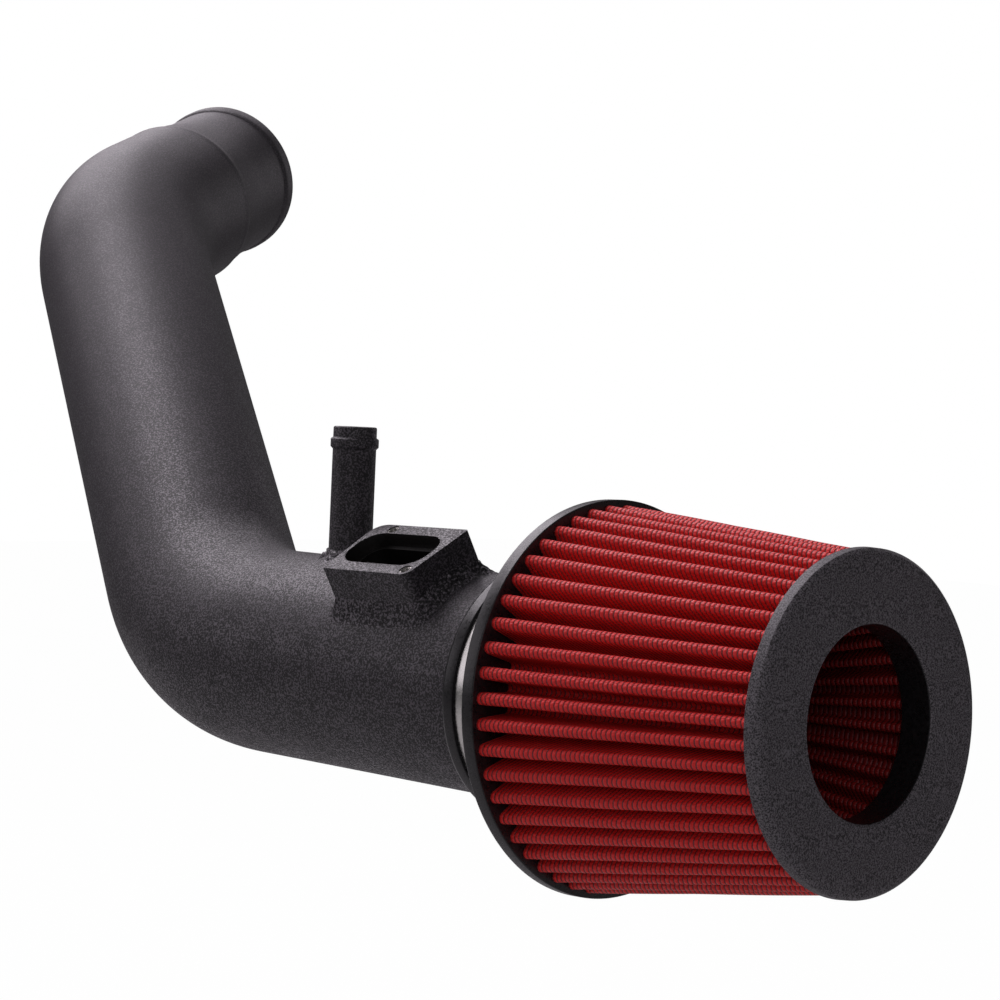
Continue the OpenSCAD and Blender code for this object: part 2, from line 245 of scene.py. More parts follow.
class Graph:
    """Node tree of a material, with a Principled shader, or of the world."""

    def __init__(self, name: str, world: bool = False) -> None:
        """Starts an empty tree.

        Args:
            name: Name of the material or the world.
            world: True for a world.
        """
        self.owner = (bpy.data.worlds if world else bpy.data.materials).new(name)
        self.owner.use_nodes = True
        self.tree = self.owner.node_tree
        self.tree.nodes.clear()
        output = self.tree.nodes.new("ShaderNodeOutputWorld" if world else "ShaderNodeOutputMaterial")
        self.surface = output.inputs["Surface"]
        if not world:
            self.shader = self.tree.nodes.new("ShaderNodeBsdfPrincipled")
            self.tree.links.new(self.shader.outputs["BSDF"], self.surface)

    def feed(self, node: bpy.types.Node, sockets: dict) -> None:
        """Sets or links the inputs of a node.

        Args:
            node: The node.
            sockets: Input name or number to a Val, a number or a colour.
        """
        for key, value in sockets.items():
            if isinstance(value, Val):
                self.tree.links.new(value.socket, node.inputs[key])
            else:
                node.inputs[key].default_value = value

    def node(self, kind: str, settings: Optional[dict] = None, sockets: Optional[dict] = None,
             output: Union[int, str] = 0) -> Val:
        """Adds any node.

        Args:
            kind: The node's type.
            settings: Its properties, set first.
            sockets: Its inputs.
            output: The output that is wrapped.

        Returns:
            The wrapped output.
        """
        made = self.tree.nodes.new(kind)
        for key, value in (settings or {}).items():
            setattr(made, key, value)
        self.feed(made, sockets or {})
        return Val(self, made.outputs[output])

    def coords(self) -> Val:
        """Object coordinates, in metres."""
        return self.node("ShaderNodeTexCoord", output="Object")

    def noise(self, size: float, detail: float = 2.0, rough: float = 0.5,
              vector: Optional[Val] = None) -> Val:
        """Noise.

        Args:
            size: Size of its grains in millimetres.
            detail: Octaves.
            rough: Weight of the finer octaves.
            vector: Coordinates, or the object's own.

        Returns:
            The noise, about 0.5 on average.
        """
        sockets = {"Vector": vector or self.coords(), "Scale": 1 / (size * MM),
                   "Detail": detail, "Roughness": rough}
        return self.node("ShaderNodeTexNoise", sockets=sockets)

    def mix(self, share: Union[Val, Number], low: Union[Val, tuple], high: Union[Val, tuple]) -> Val:
        """Colour between low, at a share of 0, and high, at a share of 1."""
        sockets = {0: share, 6: self._rgba(low), 7: self._rgba(high)}
        return self.node("ShaderNodeMix", {"data_type": "RGBA"}, sockets, output=2)

    @staticmethod
    def _rgba(colour: Union[Val, tuple]) -> Union[Val, tuple]:
        """A colour with its alpha."""
        return colour if isinstance(colour, Val) else (*colour, 1.0)

    def bump(self, height: Val, depth: float) -> Val:
        """Normal for a height from 0 to 1, with a depth in millimetres between the two."""
        sockets = {"Height": height, "Distance": depth * MM, "Strength": 1.0}
        return self.node("ShaderNodeBump", sockets=sockets)

    def finish(self, **sockets: Union[Val, Number, tuple]) -> bpy.types.Material:
        """Gives the material, with its shader fed by input names that have _ for a space."""
        self.feed(self.shader, {key.replace("_", " "): value for key, value in sockets.items()})
        return self.owner

    def seen(self, mirrored: float) -> Val:
        """Share of plain background: 1 to the camera, less in mirrors, and 0 as a light.

        Args:
            mirrored: The share for glossy rays.

        Returns:
            The share.
        """
        camera, glossy, through = (self.node("ShaderNodeLightPath", output=f"Is {kind} Ray")
                                   for kind in ("Camera", "Glossy", "Transmission"))
        return camera.most(glossy * mirrored).most(through)

    def blend(self, share: Val, low: Val, high: Val) -> None:
        """Ends the tree in a mix of two shaders, the second at a share of 1."""
        mixed = self.node("ShaderNodeMixShader", sockets={0: share, 1: low, 2: high})
        self.tree.links.new(mixed.socket, self.surface)


# Finishes


@dataclass(frozen=True)
class Powder:
    """Sandy powder coat: dark, with fine light flecks that fade towards the outlet."""

    name: str = "powder_coat"
    dark: tuple = (0.008, 0.0072, 0.0083)
    light: tuple = (0.132, 0.121, 0.136)
    grain: float = 0.78
    depth: float = 0.12
    roughness: float = 0.47
    sparkle: float = 0.3
    calm: float = 0.35
    full: float = 1.25
    calm_until: float = 0.1
    full_from: float = 0.38
    cloud: float = 0.1
    cloud_size: float = 18.0
    flecks: tuple = (0.44, 0.68)
    middle: float = 0.3
    matt: float = 0.35

    def material(self) -> bpy.types.Material:
        """Builds the material.

        Returns:
            The material.
        """
        g = Graph(self.name)
        grain = g.noise(self.grain, 2.0, 0.6)
        broad = g.noise(self.grain * self.cloud_size, 2.0)
        along = g.node("ShaderNodeSeparateXYZ", sockets={"Vector": g.coords()})
        near = along.ease(self.calm_until, self.full_from) * (self.full - self.calm) + self.calm
        fleck = (grain + (broad - 0.5) * self.cloud).ease(*self.flecks)
        fleck = (fleck - self.middle) * near + self.middle
        colour = g.mix(fleck, self.dark, self.light)
        rough = self.roughness + (self.matt - fleck) * self.sparkle
        return g.finish(Base_Color=colour, Roughness=rough,
                        Normal=g.bump(grain * near, self.depth))


@dataclass(frozen=True)
class Moulded:
    """Moulded rubber or urethane with a fine grain."""

    name: str
    dark: tuple = (0.012, 0.011, 0.012)
    light: tuple = (0.03, 0.028, 0.03)
    grain: float = 0.9
    depth: float = 0.12
    roughness: float = 0.45
    contrast: float = 0.3
    cloud: float = 0.2
    cloud_size: float = 22.0
    gloss: float = 0.3

    def material(self) -> bpy.types.Material:
        """Builds the material.

        Returns:
            The material.
        """
        g = Graph(self.name)
        grain = g.noise(self.grain, 3.0, 0.65)
        broad = g.noise(self.cloud_size, 2.0)
        fleck = (grain + (broad - 0.5) * self.cloud).ease(0.5 - self.contrast, 0.5 + self.contrast)
        rough = self.roughness + (grain - 0.5) * self.gloss
        return g.finish(Base_Color=g.mix(fleck, self.dark, self.light), Roughness=rough,
                        Normal=g.bump(grain, self.depth))


@dataclass(frozen=True)
class Steel:
    """Bright rolled or turned steel."""

    name: str
    colour: tuple = (0.72, 0.71, 0.68)
    roughness: float = 0.22
    scratch: float = 0.35
    line: float = 1.2
    stretch: tuple = (1, 8, 8)
    dull: float = 0.86
    depth: float = 0.02

    def material(self) -> bpy.types.Material:
        """Builds the material.

        Returns:
            The material.
        """
        g = Graph(self.name)
        stretched = g.node("ShaderNodeMapping", sockets={"Vector": g.coords(), "Scale": self.stretch})
        lines = g.noise(self.line, 3.0, 0.6, stretched)
        dull = tuple(self.dull * c for c in self.colour)
        rough = self.roughness + (lines - 0.5) * self.scratch
        return g.finish(Base_Color=g.mix(lines, dull, self.colour), Roughness=rough, Metallic=1.0,
                        Normal=g.bump(lines, self.depth))


@dataclass(frozen=True)
class Media:
    """Oiled cotton under a woven wire mesh, drawn on the folds' own UV map in millimetres, with painted
    shade in the gaps between the beads and on the flanks and painted highlights on the crests and the
    wires.
    """

    name: str
    bright: tuple = (1.0, 0.036, 0.034)
    # painted shade: colour of the gaps between the beads, the cells' edges and the flanks
    deep: tuple = (0.13, 0.0015, 0.002)
    # the wires' pale colour, shown only as painted highlights where the wires glint
    wire: tuple = (0.55, 0.3, 0.3)
    bead: float = 2.08
    cell: float = 1.55
    depth: float = 0.5
    # painted shade: scales the cloth's bright red down
    shade: float = 1.0
    glints: float = 0.7
    groove: tuple = (0.31, 0.43)
    crest: tuple = (4.2, 1.2)
    wire_rows: tuple = (0.37, 0.48)
    wire_gaps: tuple = (0.3, 0.12)
    tones: tuple = (0.02, 0.84)
    roughness: float = 0.45
    specular: float = 0.4

    def material(self) -> bpy.types.Material:
        """Builds the material.

        Returns:
            The material.
        """
        g = Graph(self.name)
        uv = g.node("ShaderNodeUVMap", {"uv_map": "fold"})
        parts = g.node("ShaderNodeSeparateXYZ", sockets={"Vector": uv})
        across = Val(g, parts.socket.node.outputs["X"])
        along = Val(g, parts.socket.node.outputs["Y"])
        drift = (g.noise(9.0, 1.0) - 0.5) * 0.5
        beads = (along + drift) / self.bead
        row = beads.floor()
        odd = (row * 0.5).fract() * 2.0
        place = beads.fract() - 0.5
        hump = 1.0 - (place * 2.0).abs() ** 2.6
        cells = ((across + drift) / self.cell + odd * 0.5).fract() - 0.5
        knot = 1.0 - (cells * 2.0).abs() ** 2.0
        # painted shade: the gaps between the beads are darkened
        groove = place.abs().ease(*self.groove)
        # painted highlight and shade: 1 on the crest, which is made lighter, and 0 on the flanks, which
        # stay darker
        crest = across.abs().ease(*self.crest)
        # painted highlight: where the wires glint, more on the flanks than on the crests
        wires = place.abs().ease(*self.wire_rows) * cells.abs().ease(*self.wire_gaps)
        glint = wires * (1.25 - crest * 0.5)
        height = hump * (knot * 0.3 + 0.7) + glint * 0.35
        fuzz = g.noise(0.5, 2.0, 0.6)
        # weave pattern with painted shade in the gaps and at the cells' edges and a painted highlight on
        # the crests
        weave_and_painted_shade = (1.0 - groove) * (knot * (0.55 - crest * 0.4) + 0.45 + crest * 0.45)
        tone = (weave_and_painted_shade + (fuzz - 0.5) * 0.3).ease(*self.tones)
        cloth = g.mix(tone, self.deep, tuple(self.shade * c for c in self.bright))
        # painted highlight: the wires' glints are mixed over the cloth
        colour = g.mix(glint * self.glints, cloth, self.wire)
        return g.finish(Base_Color=colour, Roughness=self.roughness, Specular_IOR_Level=self.specular,
                        Normal=g.bump(height, self.depth))


@dataclass(frozen=True)
class Backdrop:
    """White floor that keeps the object's shadow and looks white to the camera."""

    name: str = "backdrop"
    colour: tuple = (0.5, 0.5, 0.5)
    glow: float = 0.99
    mirrored: float = MIRRORED

    def material(self) -> bpy.types.Material:
        """Builds the material: part plain white to the camera, and the rest lit.

        Returns:
            The material.
        """
        g = Graph(self.name)
        made = g.finish(Base_Color=(*self.colour, 1.0), Roughness=0.9)
        white = g.node("ShaderNodeEmission", sockets={"Strength": 1.0})
        g.blend(g.seen(self.mirrored) * self.glow, Val(g, g.shader.outputs["BSDF"]), white)
        return made


# Shapes


def arc(cx: float, cy: float, radius: float, start: float, stop: float, steps: int) -> list:
    """Points of an arc.

    Args:
        cx: Centre.
        cy: Centre.
        radius: Its radius.
        start: First angle in degrees.
        stop: Last angle in degrees.
        steps: Number of steps.

    Returns:
        The (x, y) points.
    """
    # painted shade: a copy of the media, darker and with fewer glints, for the inside of the cone where
    # shade falls
    out = []
    for i in range(steps + 1):
        a = math.radians(start + (stop - start) * i / steps)
        out.append((cx + radius * math.cos(a), cy + radius * math.sin(a)))
    return out


def rounded(points: Sequence[Point], radius: float, steps: int = 3) -> list:
    """A closed outline with its corners rounded.

    Args:
        points: Corners in order; a third value gives a corner its own radius.
        radius: Radius of the other corners.
        steps: Points of each round, less one.

    Returns:
        The points of the rounded outline.
    """
    out = []
    count = len(points)
    for i, point in enumerate(points):
        here = Vector(point[:2])
        r = point[2] if len(point) > 2 else radius
        to_last = Vector(points[i - 1][:2]) - here
        to_next = Vector(points[(i + 1) % count][:2]) - here
        if r <= 0 or to_last.length < 1e-6 or to_next.length < 1e-6:
            out.append(tuple(here))
            continue
        half = to_last.angle(to_next) / 2
        reach = min(r / max(math.tan(half), 1e-6), 0.45 * to_last.length, 0.45 * to_next.length)
        a = here + to_last.normalized() * reach
        b = here + to_next.normalized() * reach
        for k in range(steps + 1):
            t = k / steps
            out.append(tuple((1 - t) ** 2 * a + 2 * t * (1 - t) * here + t * t * b))
    return out


class Shape:
    """A mesh in the making, in millimetres in the part's frame."""

    def __init__(self) -> None:
        """Starts empty."""
        self.bm = bmesh.new()

    def ring(self, points: Iterable[Point], place: Matrix = Matrix()) -> list:
        """Starts a closed loop of vertices and edges.

        Args:
            points: Places in the local frame.
            place: The local frame.

        Returns:
            The loop's vertices in order.
        """
        verts = [self.bm.verts.new(place @ Vector(p)) for p in points]
        for i, v in enumerate(verts):
            self.bm.edges.new((v, verts[(i + 1) % len(verts)]))
        return verts

    @staticmethod
    def edges_of(ring: Sequence[bmesh.types.BMVert]) -> list:
        """Finds the edges of a closed ring.

        Args:
            ring: Its vertices in order.

        Returns:
            The edges between neighbours.
        """
        out = []
        for i, v in enumerate(ring):
            other = ring[(i + 1) % len(ring)]
            out.append(next(e for e in v.link_edges if e.other_vert(v) is other))
        return out

    def grow(self, ring: list) -> list:
        """Extrudes a ring.

        Args:
            ring: Its vertices in order.

        Returns:
            The new ring in the same order, still in the old one's place.
        """
        made = bmesh.ops.extrude_edge_only(self.bm, edges=self.edges_of(ring))["geom"]
        fresh = {g for g in made if isinstance(g, bmesh.types.BMVert)}
        return [next(e.other_vert(v) for e in v.link_edges if e.other_vert(v) in fresh) for v in ring]

    def pull(self, ring: list, points: Iterable[Point], place: Matrix = Matrix()) -> list:
        """Extrudes a ring and puts its new vertices in place.

        Args:
            ring: Vertices of the ring, in order.
            points: Places of the new ones, in the same order.
            place: The local frame.

        Returns:
            The new ring.
        """
        out = self.grow(ring)
        for v, p in zip(out, points):
            v.co = place @ Vector(p)
        return out

    def bridge(self, first: list, last: list) -> None:
        """Joins two rings with faces."""
        bmesh.ops.bridge_loops(self.bm, edges=self.edges_of(first) + self.edges_of(last))

    def revolve(self, outline: Sequence[Point], place: Matrix, steps: int = 192) -> None:
        """Turns a closed outline of (radius, height) points about the local Z axis.

        Args:
            outline: The outline.
            place: The local frame.
            steps: Steps of a full turn.
        """
        ring = self.ring([(r, 0, z) for r, z in outline], place)
        geom = ring + self.edges_of(ring)
        bmesh.ops.spin(self.bm, geom=geom, cent=place.translation, axis=place.to_3x3() @ Vector((0, 0, 1)),
                       angle=math.tau, steps=steps, use_merge=True, use_duplicate=False)

    def turn_ring(self, ring: list, place: Matrix, centre: Point, angle: float, steps: int) -> list:
        """Sweeps an open pipe end round a bend.

        Args:
            ring: Vertices of the end.
            place: Frame where the bend starts.
            centre: The bend's centre in that frame.
            angle: The bend in degrees, about the local Y axis.
            steps: Steps of the bend.

        Returns:
            The ring at the bend's end.
        """
        axis = place.to_3x3() @ Vector((0, 1, 0))
        turned = Matrix.Rotation(math.radians(angle / steps), 3, axis)
        for _ in range(steps):
            ring = self.grow(ring)
            bmesh.ops.rotate(self.bm, verts=ring, cent=place @ Vector(centre), matrix=turned)
        return ring

    def bevel(self, chosen: Callable[[bmesh.types.BMEdge], bool], width: float, segments: int = 3) -> None:
        """Rounds edges.

        Args:
            chosen: True for an edge that is rounded.
            width: Width of the round.
            segments: Its steps.
        """
        edges = [e for e in self.bm.edges if chosen(e)]
        bmesh.ops.bevel(self.bm, geom=edges, offset=width, offset_type="OFFSET", segments=segments,
                        profile=0.5, affect="EDGES", material=-1, clamp_overlap=True)

    def mesh(self, name: str, recalc: bool = True) -> bpy.types.Object:
        """Closes the work and makes the object, in metres.

        Args:
            name: The object's name.
            recalc: False keeps the faces' own directions.

        Returns:
            The object, linked to the scene.
        """
        bmesh.ops.remove_doubles(self.bm, verts=self.bm.verts, dist=1e-4)
        if recalc:
            bmesh.ops.recalc_face_normals(self.bm, faces=self.bm.faces)
        bmesh.ops.transform(self.bm, matrix=Matrix.Scale(MM, 4), verts=self.bm.verts)
        mesh = bpy.data.meshes.new(name)
        self.bm.to_mesh(mesh)
        self.bm.free()
        mesh.shade_smooth()
        mesh.set_sharp_from_angle(angle=SMOOTH_ANGLE)
        made = bpy.data.objects.new(name, mesh)
        bpy.context.scene.collection.objects.link(made)
        return made


def circle(radius: float, z: float, count: int) -> list:
    """Points of a circle about the local Z axis."""
    return [(radius * math.cos(math.tau * i / count), radius * math.sin(math.tau * i / count), z)
            for i in range(count)]


def plug(name: str, low: Sequence[Point], high: Sequence[Point], place: Matrix) -> bpy.types.Object:
    """Makes the closed solid between two outlines.

    Args:
        name: Its name.
        low: Local points of the one end.
        high: Local points of the other.
        place: The local frame.

    Returns:
        The solid.
    """
    shape = Shape()
    first = shape.ring(low, place)
    for ring in (first, shape.pull(first, high, place)):
        bmesh.ops.contextual_create(shape.bm, geom=shape.edges_of(ring))
    return shape.mesh(name)


def carve(target: bpy.types.Object, cutter: bpy.types.Object) -> None:
    """Cuts one mesh out of another and removes the cutter.

    Args:
        target: The object that keeps its place and gets a new mesh.
        cutter: The object that is taken away.
    """
    tool = target.modifiers.new("cut", "BOOLEAN")
    tool.operation = "DIFFERENCE"
    tool.solver = "EXACT"
    tool.object = cutter
    graph = bpy.context.evaluated_depsgraph_get()
    mesh = bpy.data.meshes.new_from_object(target.evaluated_get(graph))
    target.modifiers.clear()
    target.data = mesh
    mesh.set_sharp_from_angle(angle=SMOOTH_ANGLE)
    bpy.data.objects.remove(cutter)


def dress(made: bpy.types.Object, finish: bpy.types.Material, slot: Slot, *stands_for: str,
          inside: Optional[bpy.types.Material] = None) -> None:
    """Gives a new piece its finish and its place in the frame.

    Args:
        made: The piece.
        finish: Its material.
        slot: Not used.
        stands_for: CAD nodes that it replaces.
        inside: Material of the faces whose index is 1.
    """
    chosen = [face.material_index for face in made.data.polygons]
    made.data.materials.clear()
    made.data.materials.append(finish)
    if inside:
        made.data.materials.append(inside)
        for face, index in zip(made.data.polygons, chosen):
            face.material_index = min(index, 1)
    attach(made, "root")
    if stands_for:
        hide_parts(*stands_for)
    log.info("%s: %d faces", made.name, len(made.data.polygons))


def dress_node(name: str, finish: bpy.types.Material) -> None:
    """Gives a kept CAD node its finish.

    Args:
        name: The node's name.
        finish: Its material.
    """
    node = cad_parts[name]
    node.data.materials.clear()
    node.data.materials.append(finish)


# Sub-assemblies


@dataclass
class IntakeTube:
    """The bent tube with its shoulder line, reduced outlet and bead."""

    finish: bpy.types.Material
    # painted shade: near-black material for the bore
    inside: bpy.types.Material
    radius: float = TUBE_RADIUS
    wall: float = TUBE_WALL
    start: float = 10.0
    outlet_radius: float = 41.3
    taper: float = 33.0
    lip_radius: float = 42.7
    lip_width: float = 10.0
    shoulder: float = 0.34
    around: int = 160
    bend_steps: int = 40

    def outlet_profile(self) -> list:
        """(radius, height) points from the shoulder to the rim of the mouth."""
        end = ROUTE.outlet
        lip = end - self.lip_width
        return [
            (self.radius, -2.8), (self.radius + 0.06, -1.6), (self.radius + 0.22, -0.4),
            (self.radius + self.shoulder - 0.03, 0.5), (self.radius + self.shoulder, 1.2),
            (self.radius + 0.22, 2.0), (self.radius - 0.1, 3.4), (self.radius - 0.5, 5.2),
            (self.radius - 0.8, 7.2),
            (self.outlet_radius + 1.3, self.taper - 14), (self.outlet_radius + 0.35, self.taper - 5),
            (self.outlet_radius, self.taper + 3), (self.outlet_radius, lip - 1.2),
            (self.outlet_radius + 0.1, lip - 0.5), (self.lip_radius - 0.6, lip),
            (self.lip_radius - 0.1, lip + 0.9), (self.lip_radius, lip + 2.2),
            (self.lip_radius, end - 2.6), (self.lip_radius - 0.2, end - 1.2),
            (self.lip_radius - 0.7, end - 0.3), (self.lip_radius - 1.4, end),
            (self.outlet_radius - self.wall + 0.6, end),
            (self.outlet_radius - self.wall, end - 0.6),
        ]

    def build(self) -> None:
        """Builds the outside and the bore as one closed shell."""
        shape = Shape()
        n = self.around
        run, leg, end = ROUTE.along_run(), ROUTE.at_leg(), ROUTE.at_end()
        centre = (ROUTE.bend, 0, 0)
        bore = self.radius - self.wall
        first = shape.ring(circle(self.radius, self.start, n), run)
        ring = shape.pull(first, circle(self.radius, ROUTE.run, n), run)
        ring = shape.turn_ring(ring, ROUTE.at_bend1(), centre, ROUTE.angle1, self.bend_steps)
        ring = shape.pull(ring, circle(self.radius, ROUTE.leg, n), leg)
        ring = shape.turn_ring(ring, ROUTE.at_bend2(), centre, ROUTE.angle2, self.bend_steps)
        spin_back = turn(-ROUTE.plane2, "Z")
        outlet = end @ shift(0, 0, ROUTE.end) @ spin_back
        for r, z in self.outlet_profile():
            ring = shape.pull(ring, circle(r, z, n), outlet)
        before = set(shape.bm.faces)
        ring = shape.pull(ring, circle(self.outlet_radius - self.wall, self.taper + 2, n), outlet)
        ring = shape.pull(ring, circle(bore, 0, n), outlet)
        ring = shape.pull(ring, circle(bore, -ROUTE.end, n), outlet)
        ring = shape.turn_ring(ring, end, centre, -ROUTE.angle2, self.bend_steps)
        ring = shape.pull(ring, circle(bore, 0, n), leg)
        ring = shape.turn_ring(ring, leg, centre, -ROUTE.angle1, self.bend_steps)
        ring = shape.pull(ring, circle(bore, self.start, n), run)
        # painted shade: the bore's faces take the near-black inside material
        for face in set(shape.bm.faces) - before:
            face.material_index = 1
        shape.bridge(ring, first)
        made = shape.mesh("intake_tube_skin")
        carve(made, SensorPad.cutter())
        carve(made, Nipple.cutter())
        dress(made, self.finish, Slot.POWDER, "intake_tube", inside=self.inside)


@dataclass
class SensorPad:
    """The welded sensor block, with its stepped opening and two insert pockets."""

    finish: Optional[bpy.types.Material] = None
    # painted shade: near-black material for the opening's walls and the pockets
    inside: Optional[bpy.types.Material] = None
    x: float = 98.0
    height: float = 60.5
    lean: float = 30.0
    yaw: float = 2.0
    length: float = 50.0
    width: float = 35.4
    slant: float = 3.4
    slot_length: float = 45.0
    slot_width: float = 22.6
    slot_radius: float = 9.5
    ledge_depth: float = 6.0
    ledge: float = 2.4
    root: float = 38.0
    insert_x: float = 3.9
    insert_y: float = 0.3
    insert_pcd: float = 43.0
    insert_share: float = 0.758
    insert_radius: float = 2.62
    pocket_depth: float = 8.0
    corner_a: float = 0.9
    corner_b: float = 8.0
    corner_d: float = 5.0
    forward: float = 0.8
    slot_centre: tuple = (0.2, -0.1)
    edge: float = 0.45
    cut: tuple = (24.0, 50.0)

    def place(self) -> Matrix:
        """The pad's frame, +Z along its face normal."""
        return ROUTE.placed() @ shift(-self.x, 0, 0) @ turn(self.lean, "X") @ turn(self.yaw, "Z")

    def outline(self, grow: float = 0.0) -> list:
        """Outline of the block: two nearly sharp corners and two round ones.

        Args:
            grow: How far it is grown outwards.

        Returns:
            The (x, y) points.
        """
        low = self.width / 2
        rear = self.length / 2 - self.forward
        front = self.length - rear
        tip = self.slant / 2
        corners = [
            (-rear - grow, -low - grow, self.corner_a + grow),
            (front - tip + grow, -low - grow, self.corner_d + grow),
            (front + tip + grow, low + grow, self.corner_a + grow),
            (-rear - grow, low + grow, self.corner_b + grow),
        ]
        return rounded(corners, 1.0, 8)

    def slot(self, inset: float) -> list:
        """Outline of the opening.

        Args:
            inset: How far it is made smaller.

        Returns:
            The (x, y) points.
        """
        w = self.slot_length / 2 - inset
        h = self.slot_width / 2 - inset
        r = self.slot_radius - inset
        cx, cy = self.slot_centre
        out = []
        for sx, sy, start in ((1, 1, 0), (-1, 1, 90), (-1, -1, 180), (1, -1, 270)):
            out += arc(cx + sx * (w - r), cy + sy * (h - r), r, start, start + 90, 8)
        return out

    def insert_spots(self) -> list:
        """Centres of the two inserts."""
        dx = self.insert_pcd / 2 * self.insert_share
        dy = math.sqrt((self.insert_pcd / 2) ** 2 - dx ** 2)
        return [(self.insert_x + s * dx, self.insert_y - s * dy) for s in (-1, 1)]

    def pocket(self, cx: float, cy: float, z: float) -> list:
        """Outline of an insert's pocket at one height."""
        return [(cx + x, cy + y, z) for x, y, _ in circle(self.insert_radius, 0, 24)]

    def build(self) -> None:
        """Builds the block from its top face downwards."""
        shape = Shape()
        place = self.place()
        top = self.height
        rings = [shape.ring([(x, y, top) for x, y in self.outline()], place),
                 shape.ring([(x, y, top) for x, y in self.slot(0)], place)]
        for cx, cy in self.insert_spots():
            rings.append(shape.ring(self.pocket(cx, cy, top), place))
        edges = [e for ring in rings for e in shape.edges_of(ring)]
        bmesh.ops.triangle_fill(shape.bm, edges=edges, use_beauty=True,
                                normal=place.to_3x3() @ Vector((0, 0, 1)))
        shape.pull(rings[0], [(x, y, self.root) for x, y in self.outline()], place)
        before = set(shape.bm.faces)
        step = shape.pull(rings[1], [(x, y, top - self.ledge_depth) for x, y in self.slot(0)], place)
        lip = shape.pull(step, [(x, y, top - self.ledge_depth) for x, y in self.slot(self.ledge)], place)
        shape.pull(lip, [(x, y, self.root) for x, y in self.slot(self.ledge)], place)
        for ring, (cx, cy) in zip(rings[2:], self.insert_spots()):
            shape.pull(ring, self.pocket(cx, cy, top - self.pocket_depth), place)
        # painted shade: the opening's walls and the pockets take the near-black inside material
        for face in set(shape.bm.faces) - before:
            face.material_index = 1
        bmesh.ops.recalc_face_normals(shape.bm, faces=shape.bm.faces)
        outer = set(shape.edges_of(rings[0])) | set(shape.edges_of(rings[1])) | set(shape.edges_of(step))
        shape.bevel(lambda e: e in outer, self.edge)
        made = shape.mesh("sensor_pad_block", recalc=False)
        dress(made, self.finish, Slot.POWDER, "sensor_flange", inside=self.inside)

    @staticmethod
    def cutter() -> bpy.types.Object:
        """The solid that opens the tube under the pad."""
        pad = SensorPad()
        low, high = ([(x, y, z) for x, y in pad.slot(pad.ledge)] for z in pad.cut)
        return plug("pad_cutter", low, high, pad.place())


def bead_section(width: float, height: float, points: int = 14) -> list:
    """Section of a weld bead that leans on a wall.

    Args:
        width: Its width on the ground.
        height: Its height on the wall.
        points: Points of its hollow face.

    Returns:
        The (outwards, upwards) points.
    """
    out = [(-0.6, -0.8), (-0.6, height)]
    for i in range(points):
        a = math.radians(84 - 84 * i / (points - 1))
        out.append((width * (1 - math.sin(a)) ** 0.8, height * (1 - math.cos(a)) ** 0.8 + 0.05))
    out.append((width * 0.98, -0.8))
    return out


